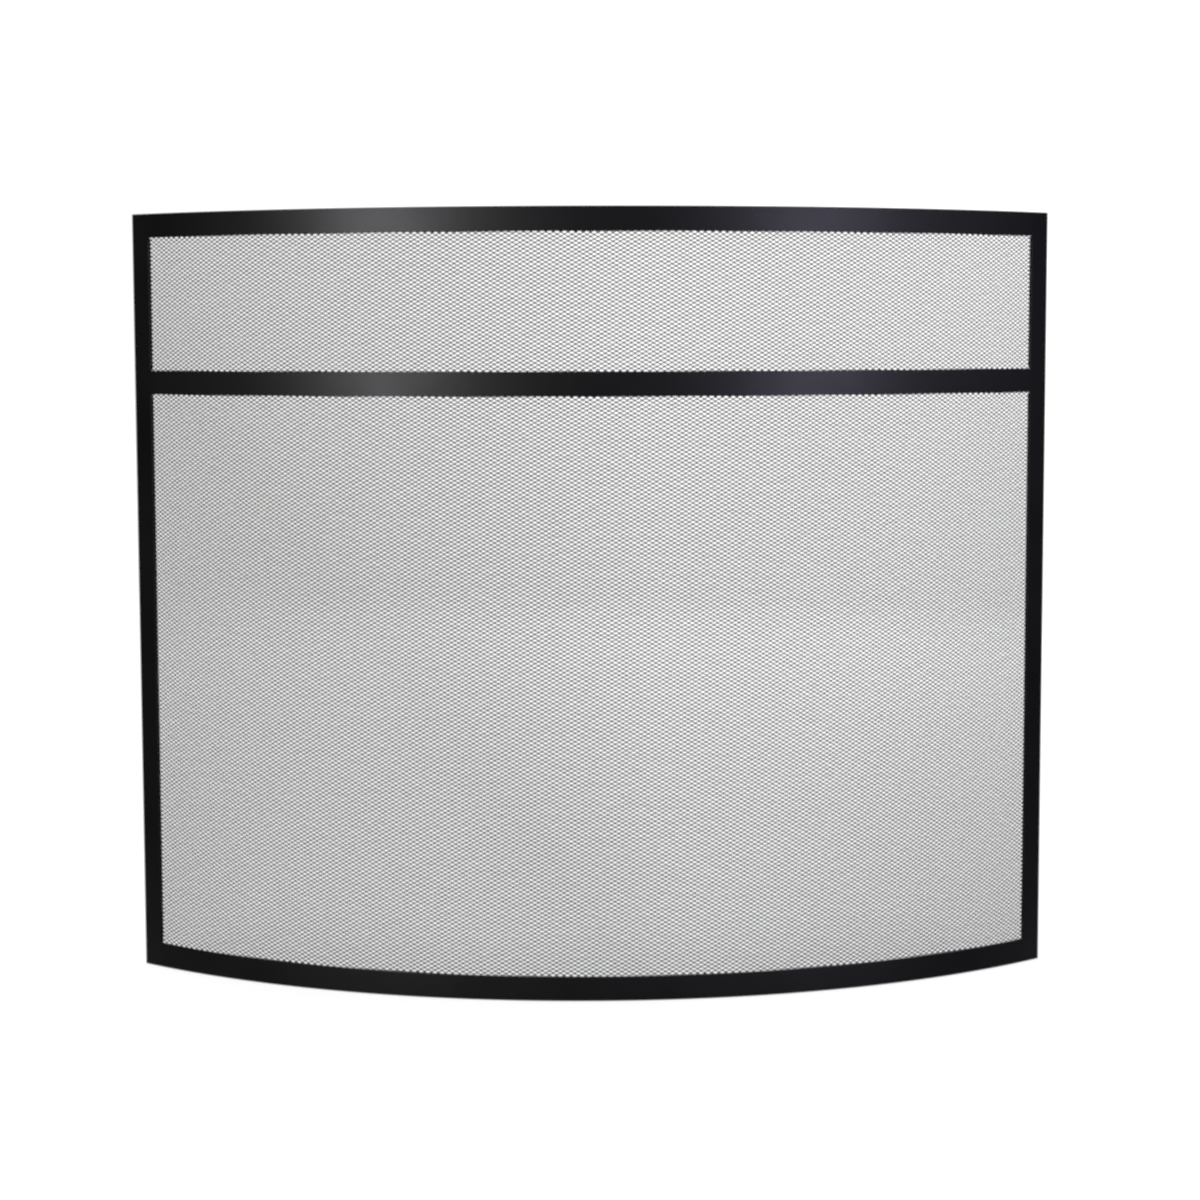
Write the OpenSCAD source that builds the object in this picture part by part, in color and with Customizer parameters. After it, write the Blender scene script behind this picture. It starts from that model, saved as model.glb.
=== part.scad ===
// Bowed one-panel fireplace screen.
// A frame of flat steel bar, rolled to one radius, holds a sheet of fine expanded metal against
// its rear face. Retaining strips clamp the sheet with nuts on studs that are welded to the bars.
// X runs along the screen, -Y is the bulging front, Z is up. The origin lies on the floor, in the
// middle of the outline that the screen covers.

/* [Screen] */
// Width over the outer edges of the two stiles
width = 825; // [600:5:1000]
// Height from the floor to the top edge
height = 685; // [500:5:900]
// Depth from the front of the bow to the rear corners of the stiles
depth = 155; // [100:5:200]

/* [Frame bars] */
// Face width of every bar
bar_w = 21.5; // [20:0.5:30]
// Thickness of every bar
bar_t = 3; // [2:0.5:5]
// Drop from the top edge to the centre line of the middle rail
middle_drop = 150.5; // [80:0.5:250]

/* [Mesh] */
// Thickness of the expanded metal over its raised strands
mesh_t = 1; // [0.6:0.1:2]
// Gap from the frame's outer edges to the edges of the sheet
mesh_inset = 4; // [2:0.5:6]

/* [Retaining strips] */
// Width of a strip
strip_w = 10; // [9:0.5:12]
// Thickness of a strip
strip_t = 1.5; // [1:0.5:3]
// Gap between two strips, and between a strip and the edge of the mesh
strip_gap = 1; // [0.5:0.5:2]

/* [Fasteners] */
// Diameter of a weld stud
stud_d = 4; // [3:0.5:5]
// Clearance around a stud in the mesh and in the strip, on the diameter
stud_clearance = 0.5; // [0.2:0.1:1]
// Most that two studs on a strip may be apart
stud_pitch = 110; // [60:5:200]
// Distance from the end of a strip to its first stud
stud_end = 22; // [10:1:40]
// Length of stud that shows past its nut
stud_tip = 0.5; // [0.2:0.1:1]
// Thickness of a nut's flange
flange_t = 1; // [0.8:0.1:1.5]
// Height of a nut over its flange
nut_h = 3.5; // [3:0.5:6]

/* [Welds] */
// Depth of the groove that a butt weld fills
weld_depth = 2; // [1:0.5:2]
// Width of that groove at the rear face
weld_w = 4; // [2:0.5:6]

/* [Hidden] */

coat_black = "#1c1b1d";
mesh_grey = "#2c2c2e";
strip_black = "#242325";
steel_grey = "#77777b";

arc_facets = 360;
round_facets = 32;
seat_gap = 0.02; // keeps a flat flange off the hollow face of a strip
sliver = 1;      // how far a cutter runs past the face that it cuts

// The front arc. Its rise is the depth less what the ends' thickness adds behind it, and that
// depends on the angle of the ends, so the cosine of the end angle is found by repetition.
half_w = width / 2;
function arc_rise(c) = depth - bar_t * c;
function arc_radius(rise) = (half_w * half_w + rise * rise) / (2 * rise);
function settle_cos(c, turns) =
  turns == 0 ? c : settle_cos(1 - arc_rise(c) / arc_radius(arc_rise(c)), turns - 1);
end_cos = settle_cos(1, 12);

front_r = arc_radius(arc_rise(end_cos));
bar_r = front_r - bar_t;
mesh_r = bar_r - mesh_t;
strip_r = mesh_r - strip_t;
arc_y = front_r - depth / 2;

// Angles along the bow are counted from its middle, positive towards +X.
function along(mm) = mm * 180 / (PI * front_r);
end_a = acos(end_cos);
joint_a = end_a - along(bar_w);

// Levels of the rails' lower edges
top_z = height - bar_w;
middle_z = height - middle_drop - bar_w / 2;
bottom_z = 0;

// Each outer strip lies just inside the edge of the mesh, where the stiles hide its nuts from
// someone standing in front of the bow.
strip_in = mesh_inset + strip_gap + strip_w / 2;
side_strip_a = end_a - along(strip_in);
side_half_a = along(strip_w / 2);
cross_strip_a = side_strip_a - side_half_a - along(strip_gap);
strip_low = mesh_inset + strip_gap;
strip_high = height - strip_low;
top_line = height - strip_in;
middle_line = height - middle_drop;
bottom_line = strip_in;

// Studs are spread evenly along a strip.
function spread(low, high, pitch) =
  let (gaps = ceil((high - low) / pitch)) [for (i = [0:gaps]) low + (high - low) * i / gaps];
cross_studs = spread(
  -cross_strip_a + along(stud_end), cross_strip_a - along(stud_end), along(stud_pitch));
side_studs = spread(strip_low + stud_end, strip_high - stud_end, stud_pitch);

hole_d = stud_d + stud_clearance;
stud_len = mesh_t + strip_t + seat_gap + nut_h + stud_tip;
nut_flats = 1.75 * stud_d;
flange_d = 2.25 * stud_d;

// A rectangular bar rolled to the bow, between two angles, two radii and two levels
module rolled(from_a, to_a, r_in, r_out, low, high) {
  translate([0, arc_y, 0])
    rotate([0, 0, from_a - 90])
      rotate_extrude(angle = to_a - from_a, $fn = arc_facets)
        translate([r_in, low])
          square([r_out - r_in, high - low]);
}

// Puts a child on the bow with its +Z pointing at the bow's centre, which is to the rear.
module on_bow(a, z, r) {
  translate([0, arc_y, 0])
    rotate([0, 0, a])
      translate([0, -r, z])
        rotate([-90, 0, 0])
          children();
}

// A wedge across the rear of a butt joint, from the bottom of its groove to a level past the
// rear face: 0 gives the weld itself, and more gives the cutter for its groove.
module joint_wedge(a, low, high, past) {
  half_base = weld_w / 2 * (weld_depth + past) / weld_depth;
  translate([0, arc_y, low])
    rotate([0, 0, a])
      translate([0, -bar_r, 0])
        linear_extrude(high - low)
          polygon([[0, -weld_depth], [half_base, past], [-half_base, past]]);
}

module rail(low) {
  difference() {
    rolled(-joint_a, joint_a, bar_r, front_r, low, low + bar_w);
    for (side = [-1, 1])
      joint_wedge(side * joint_a, low - sliver, low + bar_w + sliver, sliver);
  }
}

module stile(side) {
  difference() {
    rolled(
      side > 0 ? joint_a : -end_a, side > 0 ? end_a : -joint_a, bar_r, front_r, 0, height);
    for (low = [bottom_z, middle_z, top_z])
      joint_wedge(side * joint_a, low, low + bar_w, sliver);
  }
}

// The welds at both ends of the rails that start at the listed levels, ground flush
module welds(levels) {
  for (low = levels, side = [-1, 1])
    joint_wedge(side * joint_a, low, low + bar_w, 0);
}

module stud_holes(angles, levels) {
  for (a = angles, z = levels)
    on_bow(a, z, bar_r + sliver)
      cylinder(h = bar_t + mesh_t + strip_t + 2 * sliver, d = hole_d, $fn = round_facets);
}

module mesh_sheet() {
  edge_a = end_a - along(mesh_inset);
  difference() {
    rolled(-edge_a, edge_a, mesh_r, bar_r, mesh_inset, height - mesh_inset);
    stud_holes(cross_studs, [bottom_line, middle_line, top_line]);
    stud_holes([-side_strip_a, side_strip_a], side_studs);
  }
}

module cross_strip(line) {
  difference() {
    rolled(
      -cross_strip_a, cross_strip_a, strip_r, mesh_r, line - strip_w / 2, line + strip_w / 2);
    stud_holes(cross_studs, [line]);
  }
}

module side_strip(side) {
  middle_a = side * side_strip_a;
  difference() {
    rolled(
      middle_a - side_half_a, middle_a + side_half_a, strip_r, mesh_r, strip_low, strip_high);
    stud_holes([middle_a], side_studs);
  }
}

module stud() {
  lead_in = stud_d / 8;
  cylinder(h = stud_len - lead_in, d = stud_d, $fn = round_facets);
  translate([0, 0, stud_len - lead_in])
    cylinder(h = lead_in, d1 = stud_d, d2 = stud_d - 2 * lead_in, $fn = round_facets);
}

// A hexagon nut with a round flange, its corners turned off at the top
module nut() {
  corner_d = nut_flats / cos(30);
  turned = (corner_d - nut_flats) / 2;
  difference() {
    union() {
      cylinder(h = flange_t, d = flange_d, $fn = round_facets);
      intersection() {
        cylinder(h = nut_h, d = corner_d, $fn = 6);
        union() {
          cylinder(h = nut_h - turned, d = corner_d + sliver, $fn = round_facets);
          translate([0, 0, nut_h - turned])
            cylinder(h = turned, d1 = corner_d, d2 = nut_flats, $fn = round_facets);
        }
      }
    }
    translate([0, 0, -sliver])
      cylinder(h = nut_h + 2 * sliver, d = stud_d, $fn = round_facets);
  }
}

module studs(angles, levels) {
  for (a = angles, z = levels)
    on_bow(a, z, bar_r)
      stud();
}

module nuts(angles, levels) {
  for (a = angles, z = levels)
    on_bow(a, z, strip_r - seat_gap)
      nut();
}

module top_rail() { color(coat_black) rail(top_z); }
module middle_rail() { color(coat_black) rail(middle_z); }
module bottom_rail() { color(coat_black) rail(bottom_z); }
module left_stile() { color(coat_black) stile(-1); }
module right_stile() { color(coat_black) stile(1); }
module corner_welds() { color(coat_black) welds([bottom_z, top_z]); }
module middle_rail_welds() { color(coat_black) welds([middle_z]); }
module mesh_panel() { color(mesh_grey) mesh_sheet(); }
module top_strip() { color(strip_black) cross_strip(top_line); }
module middle_strip() { color(strip_black) cross_strip(middle_line); }
module bottom_strip() { color(strip_black) cross_strip(bottom_line); }
module left_strip() { color(strip_black) side_strip(-1); }
module right_strip() { color(strip_black) side_strip(1); }
module top_studs() { color(steel_grey) studs(cross_studs, [top_line]); }
module middle_studs() { color(steel_grey) studs(cross_studs, [middle_line]); }
module bottom_studs() { color(steel_grey) studs(cross_studs, [bottom_line]); }
module left_studs() { color(steel_grey) studs([-side_strip_a], side_studs); }
module right_studs() { color(steel_grey) studs([side_strip_a], side_studs); }
module top_nuts() { color(steel_grey) nuts(cross_studs, [top_line]); }
module middle_nuts() { color(steel_grey) nuts(cross_studs, [middle_line]); }
module bottom_nuts() { color(steel_grey) nuts(cross_studs, [bottom_line]); }
module left_nuts() { color(steel_grey) nuts([-side_strip_a], side_studs); }
module right_nuts() { color(steel_grey) nuts([side_strip_a], side_studs); }

top_rail();
middle_rail();
bottom_rail();
left_stile();
right_stile();
corner_welds();
middle_rail_welds();
mesh_panel();
top_strip();
middle_strip();
bottom_strip();
left_strip();
right_strip();
top_studs();
middle_studs();
bottom_studs();
left_studs();
right_studs();
top_nuts();
middle_nuts();
bottom_nuts();
left_nuts();
right_nuts();
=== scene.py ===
"""Looks for the bowed fireplace screen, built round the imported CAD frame.

The CAD model holds every bar, strip, stud, nut and weld. This script stands a finer piece in for
each of them: bars and strips with rounded edges, ground weld beads, cut threads, coned flange nuts,
and slit and drawn strands in place of the mesh's plain sheet. It also sets the finishes, the light
and the camera. Everything is in metres.

Most shapes are worked out on the bow laid flat: s runs along the bow from its middle, positive
towards +X, z runs up, and d runs from the front face of the bars to the rear. bend() rolls them.
"""

import math

import bpy
import numpy as np
from mathutils import Matrix, Vector


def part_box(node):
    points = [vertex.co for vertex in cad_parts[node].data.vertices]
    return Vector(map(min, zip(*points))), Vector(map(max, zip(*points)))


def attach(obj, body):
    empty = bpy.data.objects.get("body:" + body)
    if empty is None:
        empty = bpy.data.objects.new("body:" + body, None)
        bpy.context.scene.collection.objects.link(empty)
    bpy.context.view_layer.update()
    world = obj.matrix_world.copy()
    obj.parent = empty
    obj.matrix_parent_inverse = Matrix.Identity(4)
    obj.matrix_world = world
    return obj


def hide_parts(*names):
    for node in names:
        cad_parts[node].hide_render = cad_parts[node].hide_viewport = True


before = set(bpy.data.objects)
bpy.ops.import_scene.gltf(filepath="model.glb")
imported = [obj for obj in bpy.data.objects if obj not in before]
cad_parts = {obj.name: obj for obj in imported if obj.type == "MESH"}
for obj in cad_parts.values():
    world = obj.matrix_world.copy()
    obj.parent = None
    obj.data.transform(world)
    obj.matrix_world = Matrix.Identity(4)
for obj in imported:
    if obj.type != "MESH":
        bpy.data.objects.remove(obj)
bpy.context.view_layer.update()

# ---------------------------------------------------------------- sizes, as in the CAD model
BAR_T = 0.003
MESH_T = 0.001
MESH_INSET = 0.004
STRIP_T = 0.0015
WELD_DEPTH = 0.002
WELD_W = 0.004
STUD_D = 0.004
STUD_LENGTH = 0.0065
NUT_FLATS = 0.007
NUT_HEIGHT = 0.0035
FLANGE_D = 0.009
FLANGE_T = 0.001

WIDTH = 2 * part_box("right_stile")[1].x
DEPTH = 2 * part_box("right_stile")[1].y
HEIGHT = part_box("right_stile")[1].z
BAR_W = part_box("bottom_rail")[1].z

# ---------------------------------------------------------------- finer shape of the pieces
EDGE_R = 0.0005  # rounding of the bars' edges under their powder coat
EDGE_STEPS = 3
PLATE_CREASE = math.radians(50)  # edges of bars, welds and strips sharper than this look sharp
NUT_CREASE = math.radians(32)  # the same for studs and nuts
BAR_STEP = 0.005  # length of one facet along a bar
GROOVE_RUN_OUT = 0.001  # how far a weld groove fades out past the end of its joint
WELD_CROWN = 0.00012  # how far a dressed weld still stands proud
WELD_RIPPLE = 0.0014  # length of one ripple along it
STRIP_EDGE = 0.00025  # easing of the strips' edges
HOLE_D = 0.0045  # the strips' stud holes
HOLE_CELL = 0.0064  # side of the square of strip that a hole is cut in
HOLE_STEPS = 24
THREAD_PITCH = 0.0007
THREAD_DEPTH = 0.0004
THREAD_STEPS = 24  # corners of a stud's rings
THREAD_RINGS = 8  # rings in each turn of its thread
LEAD_IN = 0.0005  # chamfer on the end of a stud
FLANGE_RIM = 0.0006  # height of the flange at its rim
NUT_EASE = 0.0001  # easing of the nuts' edges
NUT_PLAY = 0.00002  # gap between a nut's bore and its stud
NUT_TURNING = math.radians(30)  # slope of the cone that takes the corners off a nut's top
FASTENER_SEED = 11  # for how far each stud and nut is turned about its axis

# Expanded metal: rows of openings, each a long way across and a short way up
LONG_PITCH = 0.00632
SHORT_PITCH = 0.00363
STRAND_W = 0.00092
STRAND_T = 0.00045
BOND_LENGTH = 0.0010  # where four strands meet and the metal was never slit
STRAND_TILT = math.radians(17)  # drawing the sheet turns the strands, lower edge forwards
ROW_FALL = 0.0146  # the sheet was cut a little off square: its rows fall to the right
COLUMN_LEAN = 0.0047  # and its columns lean to the right
WANDER = 0.00005  # how far a bond strays from its place
PUNCHED_R = 0.0032  # the sheet is punched for its studs: a bond this near to a stud's axis is gone
WANDER_SEED = 7
SHEET_BLOCKS = 8  # the strands are built as this many pieces, so that each stays handy

# ---------------------------------------------------------------- camera
CAMERA_AT = Vector((-0.0234, -2.3785, 0.5753))
LENS_MM = 81.02
PITCH_DOWN = math.radians(5.587)
TURN_LEFT = math.radians(-0.717)
ROLL_LEFT = math.radians(-0.151)
FILM_SOFTNESS = 2.8  # blur of the picture in pixels: the mesh is finer than a sharp one could draw

# ---------------------------------------------------------------- light
# Each soft lamp's azimuth, distance and height, its width and height, its watts and its colour
SOFT_LAMPS = {
    "left_softbox": (-38.5, 2.7, 0.9, (0.55, 0.8), 20, (0.98, 0.96, 1.0)),
    "right_softbox": (42.5, 2.7, 0.7, (0.8, 0.8), 12.6, (0.78, 0.74, 1.0)),
    "right_glow": (72, 2.7, 0.8, (1.5, 1.2), 2.0, (0.78, 0.73, 1.0)),
    "rear_fill": (165, 3.0, 1.5, (2.4, 1.6), 24, (1.0, 1.0, 1.0)),
}
LAMP_TARGET = 0.75  # how far up the screen they point, as a share of its height
CEILING_POWER = 3.0
CEILING_SPREAD = math.radians(50)
ROOM_LIGHT = 0.02
ROOM_FRONT = 0.08  # how much brighter the room is straight in front of the screen
FLOOR_DIM = 0.02  # how pale the floor is to every ray but the camera's
# Round pools of light painted on it, which only reflections see: their middle's y, inner radius,
# outer radius and painted brightness
FRONT_LIGHT_POOL = (-0.4, 0.4, 0.66, 0.115)
REAR_LIGHT_POOL = (1.7, 1.2, 1.8, 0.6)
FLOOR_LIT = 0.25  # the share of its whiteness that comes from the lamps, and can be shaded
BACKDROP_FAR = 1.34  # brightness of the backdrop at the horizon, where 1 is white
BACKDROP_LEAST = 1.04
BACKDROP_MOST = 1.40
BACKDROP_TO_RIGHT = 1.9  # its gain to the right, for each metre across at a metre's distance
BACKDROP_TO_TOP = 1.0  # its gain upwards, from the horizon to straight overhead
FADE_START = 2.4  # the floor fades towards a point this far in front of the screen
FADE_RATE = 0.8


def settled_bow():
    """The cosine of the bow's end angle, and the bow's outer radius.

    The thickness of the ends adds to the depth, so both are found by repetition.
    """
    cosine = 1.0
    for _ in range(20):
        rise = DEPTH - BAR_T * cosine
        radius = ((WIDTH / 2) ** 2 + rise**2) / (2 * rise)
        cosine = 1 - rise / radius
    return cosine, radius


END_COS, FRONT_R = settled_bow()
ARC_Y = FRONT_R - DEPTH / 2
HALF_S = FRONT_R * math.acos(END_COS)
JOINT_S = HALF_S - BAR_W
MESH_R = FRONT_R - BAR_T - MESH_T / 2


def bend(s, z, d, at_radius=None):
    """Points of the flat layout rolled to the bow. s is taken at at_radius, or on the front face."""
    angle = s / (at_radius or FRONT_R)
    radius = FRONT_R - d
    return np.stack([radius * np.sin(angle), ARC_Y - radius * np.cos(angle), z], axis=-1)


# ---------------------------------------------------------------- camera and light
def make_camera():
    data = bpy.data.cameras.new("camera")
    data.lens = LENS_MM
    data.sensor_width = 36
    camera = bpy.data.objects.new("camera", data)
    bpy.context.scene.collection.objects.link(camera)
    camera.matrix_world = (
        Matrix.Translation(CAMERA_AT)
        @ Matrix.Rotation(TURN_LEFT, 4, "Z")
        @ Matrix.Rotation(math.pi / 2 - PITCH_DOWN, 4, "X")
        @ Matrix.Rotation(ROLL_LEFT, 4, "Z")
    )
    bpy.context.scene.camera = camera


def round_the_screen(azimuth, distance, height):
    """A point at an azimuth round the screen, 0 in front of it and positive to the right."""
    turn = math.radians(azimuth)
    return Vector((distance * math.sin(turn), -distance * math.cos(turn), height))


def add_light(name, kind, power):
    """A new light and the object that holds it"""
    light = bpy.data.lights.new(name, kind)
    light.energy = power
    holder = bpy.data.objects.new(name, light)
    bpy.context.scene.collection.objects.link(holder)
    return light, holder


def make_lights():
    target = Vector((0, 0, HEIGHT * LAMP_TARGET))
    for name, (azimuth, distance, height, size, power, colour) in SOFT_LAMPS.items():
        light, holder = add_light(name, "AREA", power)
        light.shape = "RECTANGLE"
        light.size, light.size_y = size
        light.color = colour
        place = round_the_screen(azimuth, distance, height)
        holder.location = place
        holder.rotation_euler = (target - place).to_track_quat("-Z", "Y").to_euler()
    ceiling, _ = add_light("ceiling", "SUN", CEILING_POWER)
    ceiling.angle = CEILING_SPREAD


def shown_to_the_camera(nodes, links, room, backdrop, output):
    """Joins two shaders: backdrop where the camera looks at it, and room for all other light."""
    seen = nodes.new("ShaderNodeLightPath")
    mix = nodes.new("ShaderNodeMixShader")
    links.new(seen.outputs["Is Camera Ray"], mix.inputs[0])
    links.new(room.outputs[0], mix.inputs[1])
    links.new(backdrop.outputs[0], mix.inputs[2])
    links.new(mix.outputs[0], output.inputs["Surface"])


def number(tree, operation, *values):
    """The result of one arithmetic node on plain numbers or on the results of other nodes"""
    node = tree.nodes.new("ShaderNodeMath")
    node.operation = operation
    for socket, value in zip(node.inputs, values):
        if isinstance(value, (int, float)):
            socket.default_value = value
        else:
            tree.links.new(value, socket)
    return node.outputs[0]


def ranged(tree, value, start, end, low, high):
    """low up to start, high past end and a straight change between"""
    node = tree.nodes.new("ShaderNodeMapRange")
    for name, amount in (("From Min", start), ("From Max", end), ("To Min", low), ("To Max", high)):
        node.inputs[name].default_value = amount
    tree.links.new(value, node.inputs["Value"])
    return node.outputs[0]


def backdrop_shade(tree, to_right, fade):
    """How bright the backdrop is, from 1 for white upwards: it fades to the left and downwards."""
    shade = number(tree, "MULTIPLY_ADD", to_right, BACKDROP_TO_RIGHT, BACKDROP_FAR)
    shade = number(tree, "MINIMUM", shade, BACKDROP_MOST)
    return number(tree, "MAXIMUM", number(tree, "SUBTRACT", shade, fade), BACKDROP_LEAST)


def make_world():
    """An overexposed white backdrop in a dark room"""
    world = bpy.data.worlds.new("room")
    bpy.context.scene.world = world
    world.use_nodes = True
    tree = world.node_tree
    nodes, links = tree.nodes, tree.links
    nodes.clear()
    heading = nodes.new("ShaderNodeSeparateXYZ")
    links.new(nodes.new("ShaderNodeTexCoord").outputs["Generated"], heading.inputs[0])
    fade = number(tree, "MULTIPLY", heading.outputs["Z"], -BACKDROP_TO_TOP)
    room, backdrop = nodes.new("ShaderNodeBackground"), nodes.new("ShaderNodeBackground")
    for shade in (room, backdrop):
        shade.inputs["Color"].default_value = (1, 1, 1, 1)
    ahead = number(tree, "MULTIPLY_ADD", heading.outputs["Y"], -ROOM_FRONT, ROOM_LIGHT)
    links.new(number(tree, "MAXIMUM", ahead, ROOM_LIGHT), room.inputs["Strength"])
    links.new(backdrop_shade(tree, heading.outputs["X"], fade), backdrop.inputs["Strength"])
    shown_to_the_camera(nodes, links, room, backdrop, nodes.new("ShaderNodeOutputWorld"))


def painted_light_pool(tree, place, middle_y, inner, outer, painted_brightness):
    """How much light is painted on the floor inside a round pool that fades into the dim rest"""
    x_squared = number(tree, "MULTIPLY", place["X"], place["X"])
    y = number(tree, "SUBTRACT", place["Y"], middle_y)
    distance = number(tree, "SQRT", number(tree, "MULTIPLY_ADD", y, y, x_squared))
    return ranged(tree, distance, inner, outer, painted_brightness, FLOOR_DIM)


def make_floor():
    """A white floor, overexposed more and more to the rear and to the right, as the backdrop is.

    The camera sees it as plain white all over, so the change shows only through the mesh. Most of
    its light is its own, so that it stays white, and the rest is the lamps' light, which the screen
    can shade.
    """
    reach = 60.0
    data = bpy.data.meshes.new("floor")
    data.from_pydata(
        [(-reach, -reach, 0), (reach, -reach, 0), (reach, reach, 0), (-reach, reach, 0)],
        [], [(0, 1, 2, 3)])
    floor = bpy.data.objects.new("floor", data)
    bpy.context.scene.collection.objects.link(floor)
    material = bpy.data.materials.new("studio_floor")
    material.use_nodes = True
    tree = material.node_tree
    nodes, links = tree.nodes, tree.links
    nodes.clear()
    place = nodes.new("ShaderNodeSeparateXYZ")
    links.new(nodes.new("ShaderNodeTexCoord").outputs["Object"], place.inputs[0])
    away = number(tree, "ADD", place.outputs["Y"], FADE_START)
    away = number(tree, "MAXIMUM", away, FADE_START / 2)
    to_right = number(tree, "DIVIDE", place.outputs["X"], away)
    fade = number(tree, "DIVIDE", FADE_RATE, away)
    own = nodes.new("ShaderNodeEmission")
    shade = backdrop_shade(tree, to_right, fade)
    links.new(number(tree, "SUBTRACT", shade, FLOOR_LIT), own.inputs["Strength"])
    lit = nodes.new("ShaderNodeBsdfDiffuse")
    lit.inputs["Color"].default_value = [FLOOR_LIT * math.pi / CEILING_POWER] * 3 + [1]
    backdrop = nodes.new("ShaderNodeAddShader")
    links.new(own.outputs[0], backdrop.inputs[0])
    links.new(lit.outputs[0], backdrop.inputs[1])
    room = nodes.new("ShaderNodeBsdfDiffuse")
    # the floor is paler in round pools for reflections only: painted light that the bars mirror
    light_pools = [painted_light_pool(tree, place.outputs, *patch) for patch in (FRONT_LIGHT_POOL, REAR_LIGHT_POOL)]
    links.new(number(tree, "MAXIMUM", *light_pools), room.inputs["Color"])
    shown_to_the_camera(nodes, links, room, backdrop, nodes.new("ShaderNodeOutputMaterial"))
    data.materials.append(material)


# ---------------------------------------------------------------- materials
class Finish:
    """A material whose colour, roughness and bump come from noise in the piece's own metres."""

    def __init__(self, name):
        self.material = bpy.data.materials.new(name)
        self.material.use_nodes = True
        self.nodes = self.material.node_tree.nodes
        self.links = self.material.node_tree.links
        self.shader = self.nodes["Principled BSDF"]
        self.place = self.nodes.new("ShaderNodeTexCoord").outputs["Object"]

    def set(self, **numbers):
        """Plain numbers straight on the shader's sockets, named with underscores for spaces"""
        for socket, value in numbers.items():
            self.shader.inputs[socket.replace("_", " ")].default_value = value
        return self

    def noise(self, per_metre, detail=2.0):
        """Noise with that many bumps to the metre"""
        noise = self.nodes.new("ShaderNodeTexNoise")
        noise.inputs["Scale"].default_value = per_metre
        noise.inputs["Detail"].default_value = detail
        self.links.new(self.place, noise.inputs["Vector"])
        return noise.outputs["Fac"]

    def added(self, first, second, share):
        """first with a share of second mixed in"""
        mix = self.nodes.new("ShaderNodeMix")
        mix.data_type = "FLOAT"
        mix.inputs[0].default_value = share
        self.links.new(first, mix.inputs[2])
        self.links.new(second, mix.inputs[3])
        return mix.outputs[0]

    def colour(self, value, *stops):
        """Base colour from a ramp through the stops, each a place from 0 to 1 and a colour."""
        ramp = self.nodes.new("ShaderNodeValToRGB")
        elements = ramp.color_ramp.elements
        while len(elements) < len(stops):
            elements.new(0.5)
        for element, (place, rgb) in zip(elements, stops, strict=True):
            element.position = place
            element.color = (*rgb, 1)
        self.links.new(value, ramp.inputs[0])
        self.links.new(ramp.outputs[0], self.shader.inputs["Base Color"])
        return self

    def roughness(self, noise, low, high):
        """Roughness from low to high over the middle of the noise, where most of it lies"""
        spread = ranged(self.material.node_tree, noise, 0.3, 0.7, low, high)
        self.links.new(spread, self.shader.inputs["Roughness"])
        return self

    def bump(self, *layers):
        """Each layer is a height value, its depth in metres and its strength from 0 to 1."""
        normal = None
        for height, depth, strength in layers:
            bump = self.nodes.new("ShaderNodeBump")
            bump.inputs["Distance"].default_value = depth
            bump.inputs["Strength"].default_value = strength
            self.links.new(height, bump.inputs["Height"])
            if normal is not None:
                self.links.new(normal, bump.inputs["Normal"])
            normal = bump.outputs[0]
        self.links.new(normal, self.shader.inputs["Normal"])
        return self


def powder_coat(name, tint=1.0):
    """Satin black polyester powder: a fine orange peel over slow changes of thickness"""
    finish = Finish(name)
    peel = finish.noise(620, 1.5)
    grain = finish.noise(2600, 2.0)
    cloud = finish.noise(14, 3.0)
    dark = tuple(tint * c for c in (0.0046, 0.0044, 0.0049))
    light = tuple(tint * c for c in (0.0078, 0.0075, 0.0083))
    finish.colour(finish.added(cloud, grain, 0.35), (0.35, dark), (0.65, light))
    finish.roughness(finish.added(cloud, grain, 0.4), 0.36, 0.45)
    finish.bump((peel, 0.00006, 0.35), (grain, 0.00002, 0.25))
    return finish.material


def drawn_mesh():
    """Thin matt black paint on slit steel, a little uneven from strand to strand"""
    finish = Finish("drawn_mesh")
    strand = finish.noise(420, 2.0)
    cloud = finish.noise(9, 3.0)
    finish.colour(
        finish.added(strand, cloud, 0.4),
        (0.38, (0.008, 0.008, 0.0085)), (0.62, (0.017, 0.0168, 0.018)))
    finish.roughness(strand, 0.45, 0.62)
    finish.set(Specular_IOR_Level=0.35)
    return finish.material


def black_zinc():
    """Black zinc plate on the studs and nuts, with a faint brown bloom and rubbed patches"""
    finish = Finish("black_zinc")
    bloom = finish.noise(380, 3.0)
    turning = finish.noise(5200, 2.0)
    finish.colour(
        bloom, (0.35, (0.085, 0.083, 0.088)), (0.55, (0.150, 0.146, 0.146)),
        (0.72, (0.260, 0.245, 0.225)))
    finish.roughness(finish.added(bloom, turning, 0.4), 0.28, 0.46)
    finish.bump((turning, 0.00001, 0.4))
    finish.set(Metallic=1.0)
    return finish.material


# ---------------------------------------------------------------- building pieces
def add_piece(name, points, faces, material, slot, node):
    """A new smooth mesh piece that rides on the one body and stands for a CAD node"""
    mesh = bpy.data.meshes.new(name)
    mesh.from_pydata(np.asarray(points).tolist(), [], faces)
    mesh.shade_smooth()
    mesh.materials.append(material)
    piece = bpy.data.objects.new(name, mesh)
    bpy.context.scene.collection.objects.link(piece)
    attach(piece, "root")
    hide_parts(node)
    return piece


def crisp(piece, crease):
    """Keeps the edges sharper than a crease angle, and shades the wide faces as flat as they are."""
    piece.data.set_sharp_from_angle(angle=crease)
    even = piece.modifiers.new("even_normals", "WEIGHTED_NORMAL")
    even.keep_sharp = True
    even.weight = 100


# ---------------------------------------------------------------- the frame's bars
def rail_span(node):
    low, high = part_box(node)
    return low.z, high.z


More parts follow.
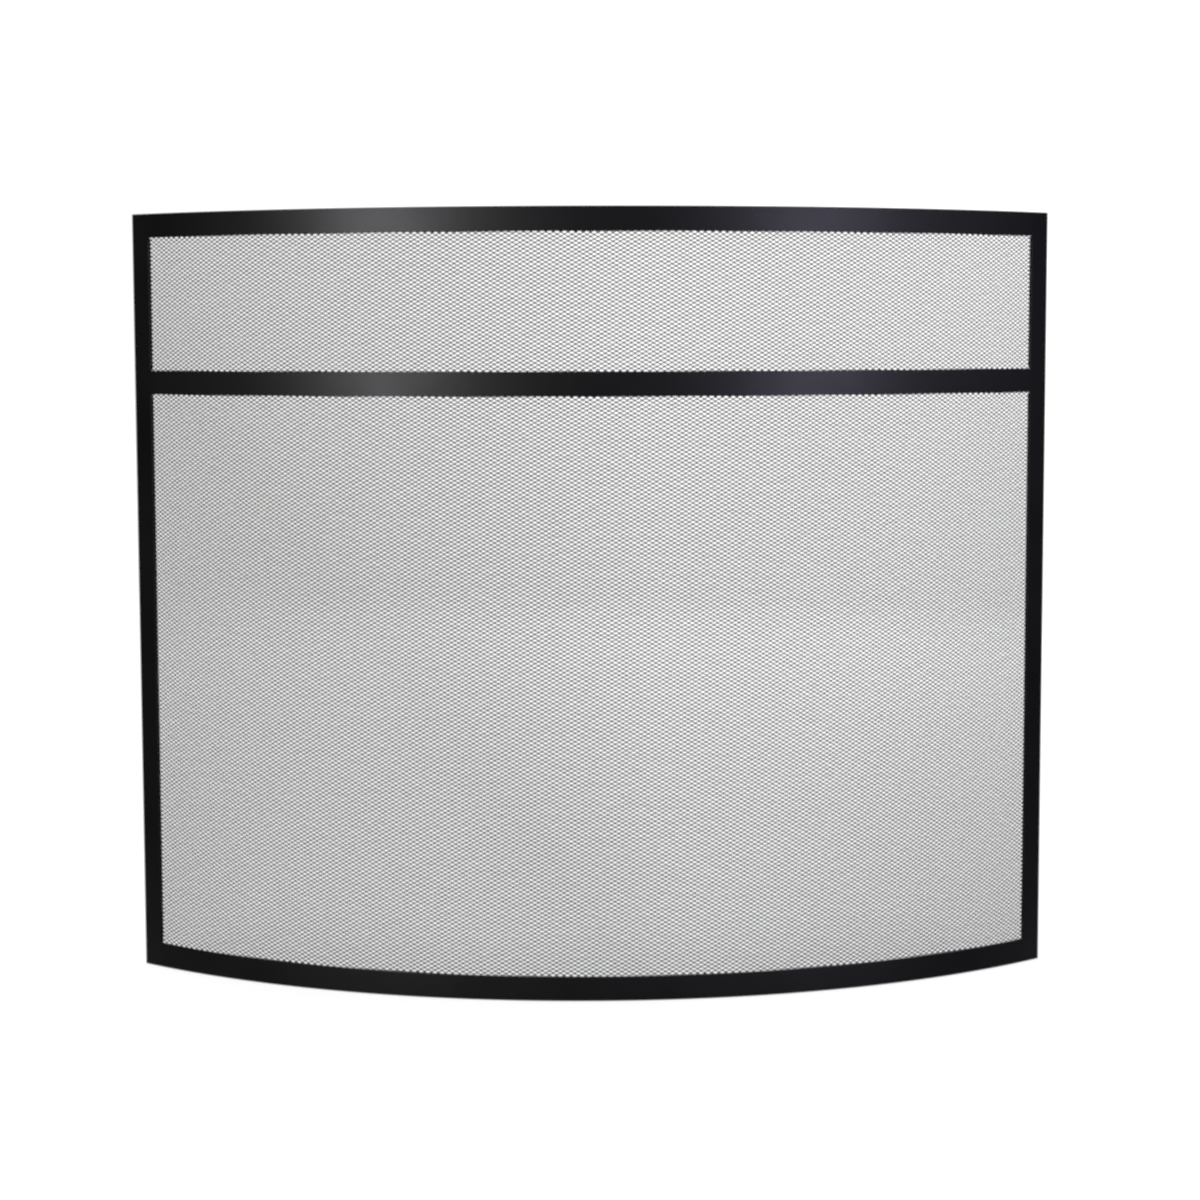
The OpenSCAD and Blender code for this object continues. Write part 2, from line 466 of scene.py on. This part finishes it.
RAILS = {node: rail_span(node) for node in ("bottom_rail", "middle_rail", "top_rail")}
SIDES = ("top", "middle", "bottom", "left", "right")
WINDOWS = [
    (RAILS["bottom_rail"][1], RAILS["middle_rail"][0]),
    (RAILS["middle_rail"][1], RAILS["top_rail"][0]),
]


def insets(radius):
    """Where grid lines lie over a rounded edge, counted from the edge inwards"""
    return [radius * (1 - math.cos(k * math.pi / 2 / EDGE_STEPS)) for k in range(EDGE_STEPS + 1)]


def edge_distance(s, z):
    """How far a point of the flat frame is from the nearest edge of the metal, mitred at corners"""
    distance = np.minimum(HALF_S - np.abs(s), np.minimum(z, HEIGHT - z))
    for low, high in WINDOWS:
        to_window = np.maximum(np.abs(s) - JOINT_S, np.maximum(low - z, z - high))
        distance = np.minimum(distance, to_window)
    return distance


def rounding(distance, radius):
    """How deep a rounded edge lies below the flat face, at a distance from the edge of the metal"""
    short = np.clip(radius - distance, 0, radius)
    return radius - np.sqrt(radius**2 - short**2)


def groove(s, z):
    """How deep the weld groove at the rear of a joint lies below the rear face there"""
    across = np.clip(1 - np.abs(np.abs(s) - JOINT_S) / (WELD_W / 2), 0, 1)
    along = np.zeros_like(z)
    for low, high in RAILS.values():
        past = np.maximum(low - z, z - high)
        along = np.maximum(along, np.clip(1 - past / GROOVE_RUN_OUT, 0, 1))
    return WELD_DEPTH * across * along


def sorted_lines(values):
    """Grid lines in order, with those that fall together taken once"""
    return np.unique(np.round(values, 7))


def frame_lines():
    """The grid of the flat frame: close lines over each rounded edge and even steps between"""
    facets = math.ceil(2 * JOINT_S / BAR_STEP)
    half = WELD_W / 2
    s_lines = list(np.linspace(-JOINT_S, JOINT_S, facets + 1))
    for side in (-1, 1):
        s_lines += [side * (HALF_S - inset) for inset in insets(EDGE_R)]
        s_lines += [side * (JOINT_S + inset) for inset in insets(EDGE_R)]
        s_lines += [side * (JOINT_S - half), side * (JOINT_S + half)]
    z_lines = []
    for low, high in RAILS.values():
        z_lines += [low + inset for inset in insets(EDGE_R)]
        z_lines += [high - inset for inset in insets(EDGE_R)]
    for low, high in WINDOWS:
        z_lines += [low + GROOVE_RUN_OUT, high - GROOVE_RUN_OUT]
    return sorted_lines(s_lines), sorted_lines(z_lines)


def holed(square, ring):
    """Four faces between a square and the ring round its hole, both counted from the lower left"""
    quarter = len(ring) // 4
    faces = []
    for k in range(4):
        arc = [ring[(k * quarter + m) % len(ring)] for m in range(quarter, -1, -1)]
        faces.append([square[k], square[(k + 1) % 4], *arc])
    return faces


def plate(name, cells, lines, surfaces, finish, node, hole_r=0, holes=()):
    """A closed plate over some cells of a grid, between the two depths that surfaces gives.

    lines are the grid's s and z lines, finish is a material and its slot, which is not used, and
    holes are the cells that have a round hole in their middle.
    """
    s_lines, z_lines = lines
    rows = len(z_lines)

    def corner(i, j):
        return i * rows + j

    s, z = (grid.ravel() for grid in np.meshgrid(s_lines, z_lines, indexing="ij"))
    s, z = list(s), list(z)
    front, walls = [], []
    taken = set(cells)
    for i, j in cells:
        square = corner(i, j), corner(i + 1, j), corner(i + 1, j + 1), corner(i, j + 1)
        beside = (i, j - 1), (i + 1, j), (i, j + 1), (i - 1, j)
        for k in range(4):
            if beside[k] not in taken:
                walls.append((square[k], square[(k + 1) % 4]))
        if (i, j) not in holes:
            front.append(square)
            continue
        ring = []
        for k in range(HOLE_STEPS):
            angle = 2 * math.pi * k / HOLE_STEPS - 3 * math.pi / 4
            ring.append(len(s))
            s.append((s_lines[i] + s_lines[i + 1]) / 2 + hole_r * math.cos(angle))
            z.append((z_lines[j] + z_lines[j + 1]) / 2 + hole_r * math.sin(angle))
        front += holed(square, ring)
        walls += [(ring[(k + 1) % HOLE_STEPS], ring[k]) for k in range(HOLE_STEPS)]
    used = sorted({k for face in front for k in face})
    at = {k: n for n, k in enumerate(used)}
    rear = len(used)
    s, z = np.array(s)[used], np.array(z)[used]
    near, far = surfaces(s, z)
    points = np.concatenate([bend(s, z, near), bend(s, z, far)])
    faces = [[at[k] for k in face] for face in front]
    faces += [[at[k] + rear for k in reversed(face)] for face in front]
    faces += [[at[p], at[p] + rear, at[q] + rear, at[q]] for p, q in walls]
    crisp(add_piece(name, points, faces, *finish, node), PLATE_CREASE)


def bar_surfaces(s, z):
    near = rounding(edge_distance(s, z), EDGE_R)
    return near, BAR_T - np.maximum(near, groove(s, z))


def grid_cells(s_lines, z_lines, owner):
    """The cells of a grid by the name that owner gives for their middles, where it gives one"""
    cells = {}
    for i in range(len(s_lines) - 1):
        for j in range(len(z_lines) - 1):
            name = owner((s_lines[i] + s_lines[i + 1]) / 2, (z_lines[j] + z_lines[j + 1]) / 2)
            if name:
                cells.setdefault(name, []).append((i, j))
    return cells


def rail_at(z):
    return next((node for node, (low, high) in RAILS.items() if low < z < high), None)


def bar_at(s, z):
    if abs(s) < JOINT_S:
        return rail_at(z)
    return "right_stile" if s > 0 else "left_stile"


def make_bars():
    lines = frame_lines()
    for node, cells in grid_cells(*lines, bar_at).items():
        plate(node + "_bar", cells, lines, bar_surfaces, (POWDER_COAT, "powder_coat"), node)


# ---------------------------------------------------------------- the welds
def weld_surfaces(s, z):
    """A weld fills its groove, a little into the bars, and stands proud in faint ripples."""
    across = (np.abs(s) - JOINT_S) / (WELD_W / 2)
    ripple = 0.8 + 0.2 * np.cos(2 * math.pi * z / WELD_RIPPLE - 2 * across**2)
    near = BAR_T - WELD_DEPTH * (1 - np.abs(across)) - WELD_CROWN
    edge = rounding(edge_distance(s, z), EDGE_R)
    far = BAR_T - edge + WELD_CROWN * ripple * (1 - across**2)
    return near, np.maximum(far, near + WELD_CROWN)


def weld_at(s, z):
    rail = rail_at(z)
    if not rail or abs(abs(s) - JOINT_S) > WELD_W / 2:
        return None
    return "middle_rail_welds" if rail == "middle_rail" else "corner_welds"


def make_welds():
    steps = math.ceil(BAR_W / WELD_RIPPLE * 6)
    s_lines = [side * (JOINT_S + k * WELD_W / 12) for side in (-1, 1) for k in range(-6, 7)]
    z_lines = []
    for low, high in RAILS.values():
        z_lines += [low + inset for inset in insets(EDGE_R)]
        z_lines += list(np.linspace(low + EDGE_R, high - EDGE_R, steps + 1))
        z_lines += [high - inset for inset in insets(EDGE_R)]
    lines = sorted_lines(s_lines), sorted_lines(z_lines)
    for node, cells in grid_cells(*lines, weld_at).items():
        plate(node + "_beads", cells, lines, weld_surfaces, (POWDER_COAT, "powder_coat"), node)


# ---------------------------------------------------------------- the expanded metal
# A bond has twelve corners: on two faces of the sheet, at three levels, at two ends. The lower half
# of each end takes a strand from the row below, and the upper half sends one to the row above.
FRONT, REAR = 0, 1
LOW, MIDDLE, TOP = 0, 1, 2
LEFT, RIGHT = 0, 1
BOND_CORNERS = 12
LOWER_HALF, UPPER_HALF = (LOW, MIDDLE), (MIDDLE, TOP)


def bond_corner(face, level, end):
    """The number of a corner within its bond"""
    return face * 6 + level * 2 + end


def bond_offsets():
    """How far a bond's corners lie from its middle: along the bow, up and through the sheet"""
    across, through = math.cos(STRAND_TILT), math.sin(STRAND_TILT)
    offsets = []
    for face in (-1, 1):
        for level in (-1, 0, 1):
            for end in (-1, 1):
                offsets.append((
                    end * BOND_LENGTH / 2,
                    level * STRAND_W * across - face * through * STRAND_T / 2,
                    level * STRAND_W * through + face * across * STRAND_T / 2,
                ))
    return np.array(offsets)


def bond_faces():
    """A bond's faces, apart from its ends"""
    ring = [(FRONT, LOW), (FRONT, MIDDLE), (FRONT, TOP), (REAR, TOP), (REAR, MIDDLE), (REAR, LOW)]
    quads = []
    for (face, level), (next_face, next_level) in zip(ring, ring[1:] + ring[:1]):
        quads.append((
            bond_corner(face, level, LEFT), bond_corner(face, level, RIGHT),
            bond_corner(next_face, next_level, RIGHT), bond_corner(next_face, next_level, LEFT),
        ))
    return np.array(quads)


def section(bonds, half, end):
    """The corners round one half of one end of each bond, where a strand meets it"""
    low, high = half
    ring = ((FRONT, low), (FRONT, high), (REAR, high), (REAR, low))
    return [bonds * BOND_CORNERS + bond_corner(face, level, end) for face, level in ring]


def end_faces(bonds, half, end, outwards=True):
    """Flat faces over a half of one end of each bond, looking away from it or back at it"""
    ring = section(bonds, half, end)
    return np.stack(ring[::-1] if (end == RIGHT) == outwards else ring, axis=-1)


def strand_faces(bonds, above, end):
    """The sides of the strands from one end of each bond to the bonds above"""
    start = section(bonds, UPPER_HALF, end)
    stop = section(above, LOWER_HALF, 1 - end)
    quads = []
    for k in range(4):
        after = (k + 1) % 4
        side = (start[k], stop[k], stop[after], start[after])
        quads.append(np.stack(side if end == RIGHT else side[::-1], axis=-1))
    return np.concatenate(quads)


def neighbours(grid, right, up):
    """What lies that far to the right and up of each place of a grid, and -1 past its edges"""
    padded = np.pad(grid, 1, constant_values=-1)
    return padded[1 + right : 1 + right + grid.shape[0], 1 + up : 1 + up + grid.shape[1]]


def bond_grid():
    """The flat places of all bonds, and a grid with their numbers, where -1 is no bond.

    Rows are half a short pitch apart and columns half a long pitch, and every other place is taken.
    The grid starts larger than the sheet, because its rows and columns lie askew.
    """
    half_s = (HALF_S - MESH_INSET) * MESH_R / FRONT_R
    low_z, high_z = MESH_INSET + STRAND_W, HEIGHT - MESH_INSET - STRAND_W
    spare_rows = 12
    columns = 2 * (int(half_s / LONG_PITCH) + 2)
    rows = 2 * int(HEIGHT / SHORT_PITCH) + spare_rows
    column, row = np.meshgrid(
        np.arange(-columns, columns + 1), np.arange(-spare_rows, rows + spare_rows), indexing="ij")
    z = row * SHORT_PITCH / 2
    s = column * LONG_PITCH / 2 + COLUMN_LEAN * (z - HEIGHT / 2)
    z = z - ROW_FALL * s
    rng = np.random.default_rng(WANDER_SEED)
    s = s + rng.normal(0, WANDER, s.shape)
    z = z + rng.normal(0, WANDER, z.shape)
    taken = (column + row) % 2 == 0
    taken &= (np.abs(s) < half_s - BOND_LENGTH / 2) & (z > low_z) & (z < high_z)
    for stud_s, stud_z in stud_places():
        taken &= np.hypot(s - stud_s * MESH_R / FRONT_R, z - stud_z) > PUNCHED_R
    numbered = np.full(s.shape, -1)
    numbered[taken] = np.arange(taken.sum())
    return s[taken], z[taken], numbered


def vertex_normals(points, quads):
    """Each point's normal, from the faces round it"""
    a, b, c, d = (points[quads[:, k]] for k in range(4))
    face_normals = np.cross(c - a, d - b)
    normals = np.zeros_like(points)
    for k in range(4):
        np.add.at(normals, quads[:, k], face_normals)
    return normals / np.linalg.norm(normals, axis=1, keepdims=True)


def make_sheet():
    """Every bond and strand of the sheet, in upright blocks that are each a closed piece"""
    s, z, numbered = bond_grid()
    taken = numbered >= 0
    bonds = numbered[taken]
    offsets = bond_offsets()
    flat_s = (s[:, None] + offsets[:, 0]).ravel()
    flat_z = (z[:, None] + offsets[:, 1]).ravel()
    depth = np.tile(BAR_T + MESH_T / 2 + offsets[:, 2], len(bonds))
    points = bend(flat_s, flat_z, depth, MESH_R)

    block = ((s - s.min()) / (s.max() - s.min()) * SHEET_BLOCKS).astype(int)
    block = np.minimum(block, SHEET_BLOCKS - 1)
    own = bond_faces()
    sides = [(bonds[:, None, None] * BOND_CORNERS + own).reshape(-1, 4)]
    side_blocks = [np.repeat(block, len(own))]
    ends, end_blocks = [], []
    for end, step in ((LEFT, -1), (RIGHT, 1)):
        above = neighbours(numbered, step, 1)[taken]
        below = neighbours(numbered, step, -1)[taken]
        joined = above >= 0
        sides.append(strand_faces(bonds[joined], above[joined], end))
        side_blocks.append(np.tile(block[joined], 4))
        crossing = joined & (block[above] != block)
        shut_below = (below < 0) | (block[below] != block)
        ends += [
            end_faces(bonds[~joined], UPPER_HALF, end),
            end_faces(bonds[shut_below], LOWER_HALF, end),
            end_faces(above[crossing], LOWER_HALF, 1 - end, outwards=False),
        ]
        end_blocks += [block[~joined], block[shut_below], block[crossing]]

    sides = np.concatenate(sides)
    normals = vertex_normals(points, sides)
    faces = np.concatenate([sides, *ends])
    owners = np.concatenate(side_blocks + end_blocks)
    for k in range(SHEET_BLOCKS):
        used, quads = np.unique(faces[owners == k], return_inverse=True)
        piece = add_piece(
            f"mesh_panel_{k + 1}", points[used], quads.reshape(-1, 4).tolist(), DRAWN_MESH,
            "expanded_metal", "mesh_panel")
        piece.data.normals_split_custom_set_from_vertices(normals[used])
        lay_out(piece, flat_s[used], flat_z[used])


def lay_out(piece, s, z):
    """Gives a piece its flat layout as its UV map."""
    corners = np.empty(len(piece.data.loops), np.int32)
    piece.data.loops.foreach_get("vertex_index", corners)
    flat = np.stack([(s - s.min()) / np.ptp(s), (z - z.min()) / np.ptp(z)], axis=-1)
    layer = piece.data.uv_layers.new(name="OFBake")
    layer.uv.foreach_set("vector", flat[corners].astype(np.float32).ravel())


# ---------------------------------------------------------------- studs and nuts
def group_middles(values):
    """The middles of the groups that values fall into, where groups lie at least a flange apart"""
    ordered = np.sort(values)
    breaks = np.flatnonzero(np.diff(ordered) > FLANGE_D) + 1
    return [(group[0] + group[-1]) / 2 for group in np.split(ordered, breaks)]


def flat_corners(node):
    """The s and the z of every corner of a CAD node"""
    corners = np.array([vertex.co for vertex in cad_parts[node].data.vertices])
    return np.arctan2(corners[:, 0], ARC_Y - corners[:, 1]) * FRONT_R, corners[:, 2]


def stud_lines(side):
    """The columns and the levels of one side's studs on the flat frame"""
    s, z = flat_corners(side + "_studs")
    return group_middles(s), group_middles(z)


def stud_places(*sides):
    """The places of the studs of some sides, or of them all"""
    places = []
    for side in sides or SIDES:
        columns, levels = stud_lines(side)
        places += [(s, z) for s in columns for z in levels]
    return places


def turned(angles, radii, heights, hollow):
    """Points and faces of a turned piece, ring by ring: s, z and depth from its middle.

    A hollow piece's last ring meets its first, and a solid one gets flat ends.
    """
    radii, heights = np.broadcast_arrays(radii, np.asarray(heights)[:, None])
    points = np.stack([radii * np.cos(angles), radii * np.sin(angles), heights], axis=-1)
    rings, steps = radii.shape
    faces = []
    for ring in range(rings if hollow else rings - 1):
        this, after = ring * steps, (ring + 1) % rings * steps
        for k in range(steps):
            m = (k + 1) % steps
            faces.append((this + k, after + k, after + m, this + m))
    if not hollow:
        faces.append(tuple(range(steps)))
        faces.append(tuple(reversed(range((rings - 1) * steps, rings * steps))))
    return points.reshape(-1, 3), faces


def threaded_stud():
    """A stud with its thread cut all the way up and its end chamfered"""
    angles = np.arange(THREAD_STEPS) * 2 * math.pi / THREAD_STEPS
    heights = np.linspace(0, STUD_LENGTH, round(STUD_LENGTH / THREAD_PITCH * THREAD_RINGS) + 1)
    turns = heights[:, None] / THREAD_PITCH - angles / (2 * math.pi)
    flank = np.abs(2 * (turns % 1) - 1)
    radii = STUD_D / 2 - THREAD_DEPTH * np.clip(1.25 * flank - 0.125, 0, 1)
    chamfer = STUD_D / 2 - LEAD_IN + STUD_LENGTH - heights[:, None]
    return turned(angles, np.minimum(radii, chamfer), heights, hollow=False)


def flange_nut():
    """A hexagon nut on a coned flange, with turned corners and a countersunk thread"""
    flat = np.radians(np.arange(-28, 29, 8))
    angles = np.concatenate([flat + k * math.pi / 3 for k in range(6)])
    hexagon = np.tile(NUT_FLATS / 2 / np.cos(flat), 6)
    bore, rim = STUD_D / 2 + NUT_PLAY, FLANGE_D / 2
    sink = 3 * NUT_EASE
    top = NUT_FLATS / 2 - NUT_EASE
    slope = math.tan(NUT_TURNING)
    lathe = [
        (0, bore + sink), (0, rim - NUT_EASE), (NUT_EASE, rim), (FLANGE_RIM - NUT_EASE, rim),
        (FLANGE_RIM, rim - NUT_EASE), (FLANGE_T, NUT_FLATS / 2 + 6 * NUT_EASE),
    ]
    lathe += [(NUT_HEIGHT - k * NUT_EASE, top + k * NUT_EASE / slope) for k in (5, 4, 3, 2, 1, 0)]
    lathe += [(NUT_HEIGHT, bore + sink), (NUT_HEIGHT - sink, bore), (sink, bore)]
    heights = [height for height, _ in lathe]
    radii = np.array([
        np.full(len(angles), radius) if height < FLANGE_T or radius < top
        else np.minimum(hexagon, radius) for height, radius in lathe])
    return turned(angles, radii, heights, hollow=True)


def fit_all(name, node, places, shape, depth, rng):
    """One piece with a shape at every place, each turned by chance about its own axis"""
    corners, faces = shape
    all_points, all_faces = [], []
    for count, (s, z) in enumerate(places):
        turn = rng.uniform(0, 2 * math.pi)
        across = corners[:, 0] * math.cos(turn) - corners[:, 1] * math.sin(turn)
        up = corners[:, 0] * math.sin(turn) + corners[:, 1] * math.cos(turn)
        all_points.append(bend(s + across, z + up, depth + corners[:, 2]))
        all_faces += [[k + count * len(corners) for k in face] for face in faces]
    piece = add_piece(name, np.concatenate(all_points), all_faces, BLACK_ZINC, "fastener", node)
    crisp(piece, NUT_CREASE)


def make_fasteners():
    rng = np.random.default_rng(FASTENER_SEED)
    stud, nut = threaded_stud(), flange_nut()
    for side in SIDES:
        places = stud_places(side)
        fit_all(side + "_threaded_studs", side + "_studs", places, stud, BAR_T, rng)
        seat = BAR_T + MESH_T + STRIP_T
        fit_all(side + "_flange_nuts", side + "_nuts", places, nut, seat, rng)


# ---------------------------------------------------------------- the strips
def strip_lines(low, high, studs, step):
    """Grid lines across a strip, with a cell for each stud's hole and close lines over both edges"""
    half = HOLE_CELL / 2
    lines = [low + inset for inset in insets(STRIP_EDGE)]
    lines += [high - inset for inset in insets(STRIP_EDGE)]
    between = np.linspace(low, high, math.ceil((high - low) / step) + 1)
    lines += [line for line in between if all(abs(line - stud) > half for stud in studs)]
    for stud in studs:
        lines += [stud - half, stud + half]
    return sorted_lines(lines)


def make_strips():
    for side in SIDES:
        s, z = flat_corners(side + "_strip")
        low_s, high_s, low_z, high_z = s.min(), s.max(), z.min(), z.max()
        columns, levels = stud_lines(side)
        lines = (
            strip_lines(low_s, high_s, columns, BAR_STEP),
            strip_lines(low_z, high_z, levels, high_z - low_z))

        def surfaces(s, z):
            distance = np.minimum(
                np.minimum(s - low_s, high_s - s), np.minimum(z - low_z, high_z - z))
            ease = rounding(distance, STRIP_EDGE)
            return BAR_T + MESH_T + ease, BAR_T + MESH_T + STRIP_T - ease

        cells = [(i, j) for i in range(len(lines[0]) - 1) for j in range(len(lines[1]) - 1)]
        holes = {
            (np.searchsorted(lines[0], column) - 1, np.searchsorted(lines[1], level) - 1)
            for column in columns for level in levels}
        plate(
            side + "_retaining_strip", cells, lines, surfaces, (STRIP_COAT, "strip_coat"),
            side + "_strip", HOLE_D / 2, holes)


make_camera()
make_world()
make_lights()
make_floor()

POWDER_COAT = powder_coat("powder_coat_black")
STRIP_COAT = powder_coat("strip_coat_black", 1.8)
DRAWN_MESH = drawn_mesh()
BLACK_ZINC = black_zinc()

make_bars()
make_welds()
make_sheet()
make_strips()
make_fasteners()

bpy.context.scene.view_settings.view_transform = "Standard"
bpy.context.scene.cycles.filter_width = FILM_SOFTNESS
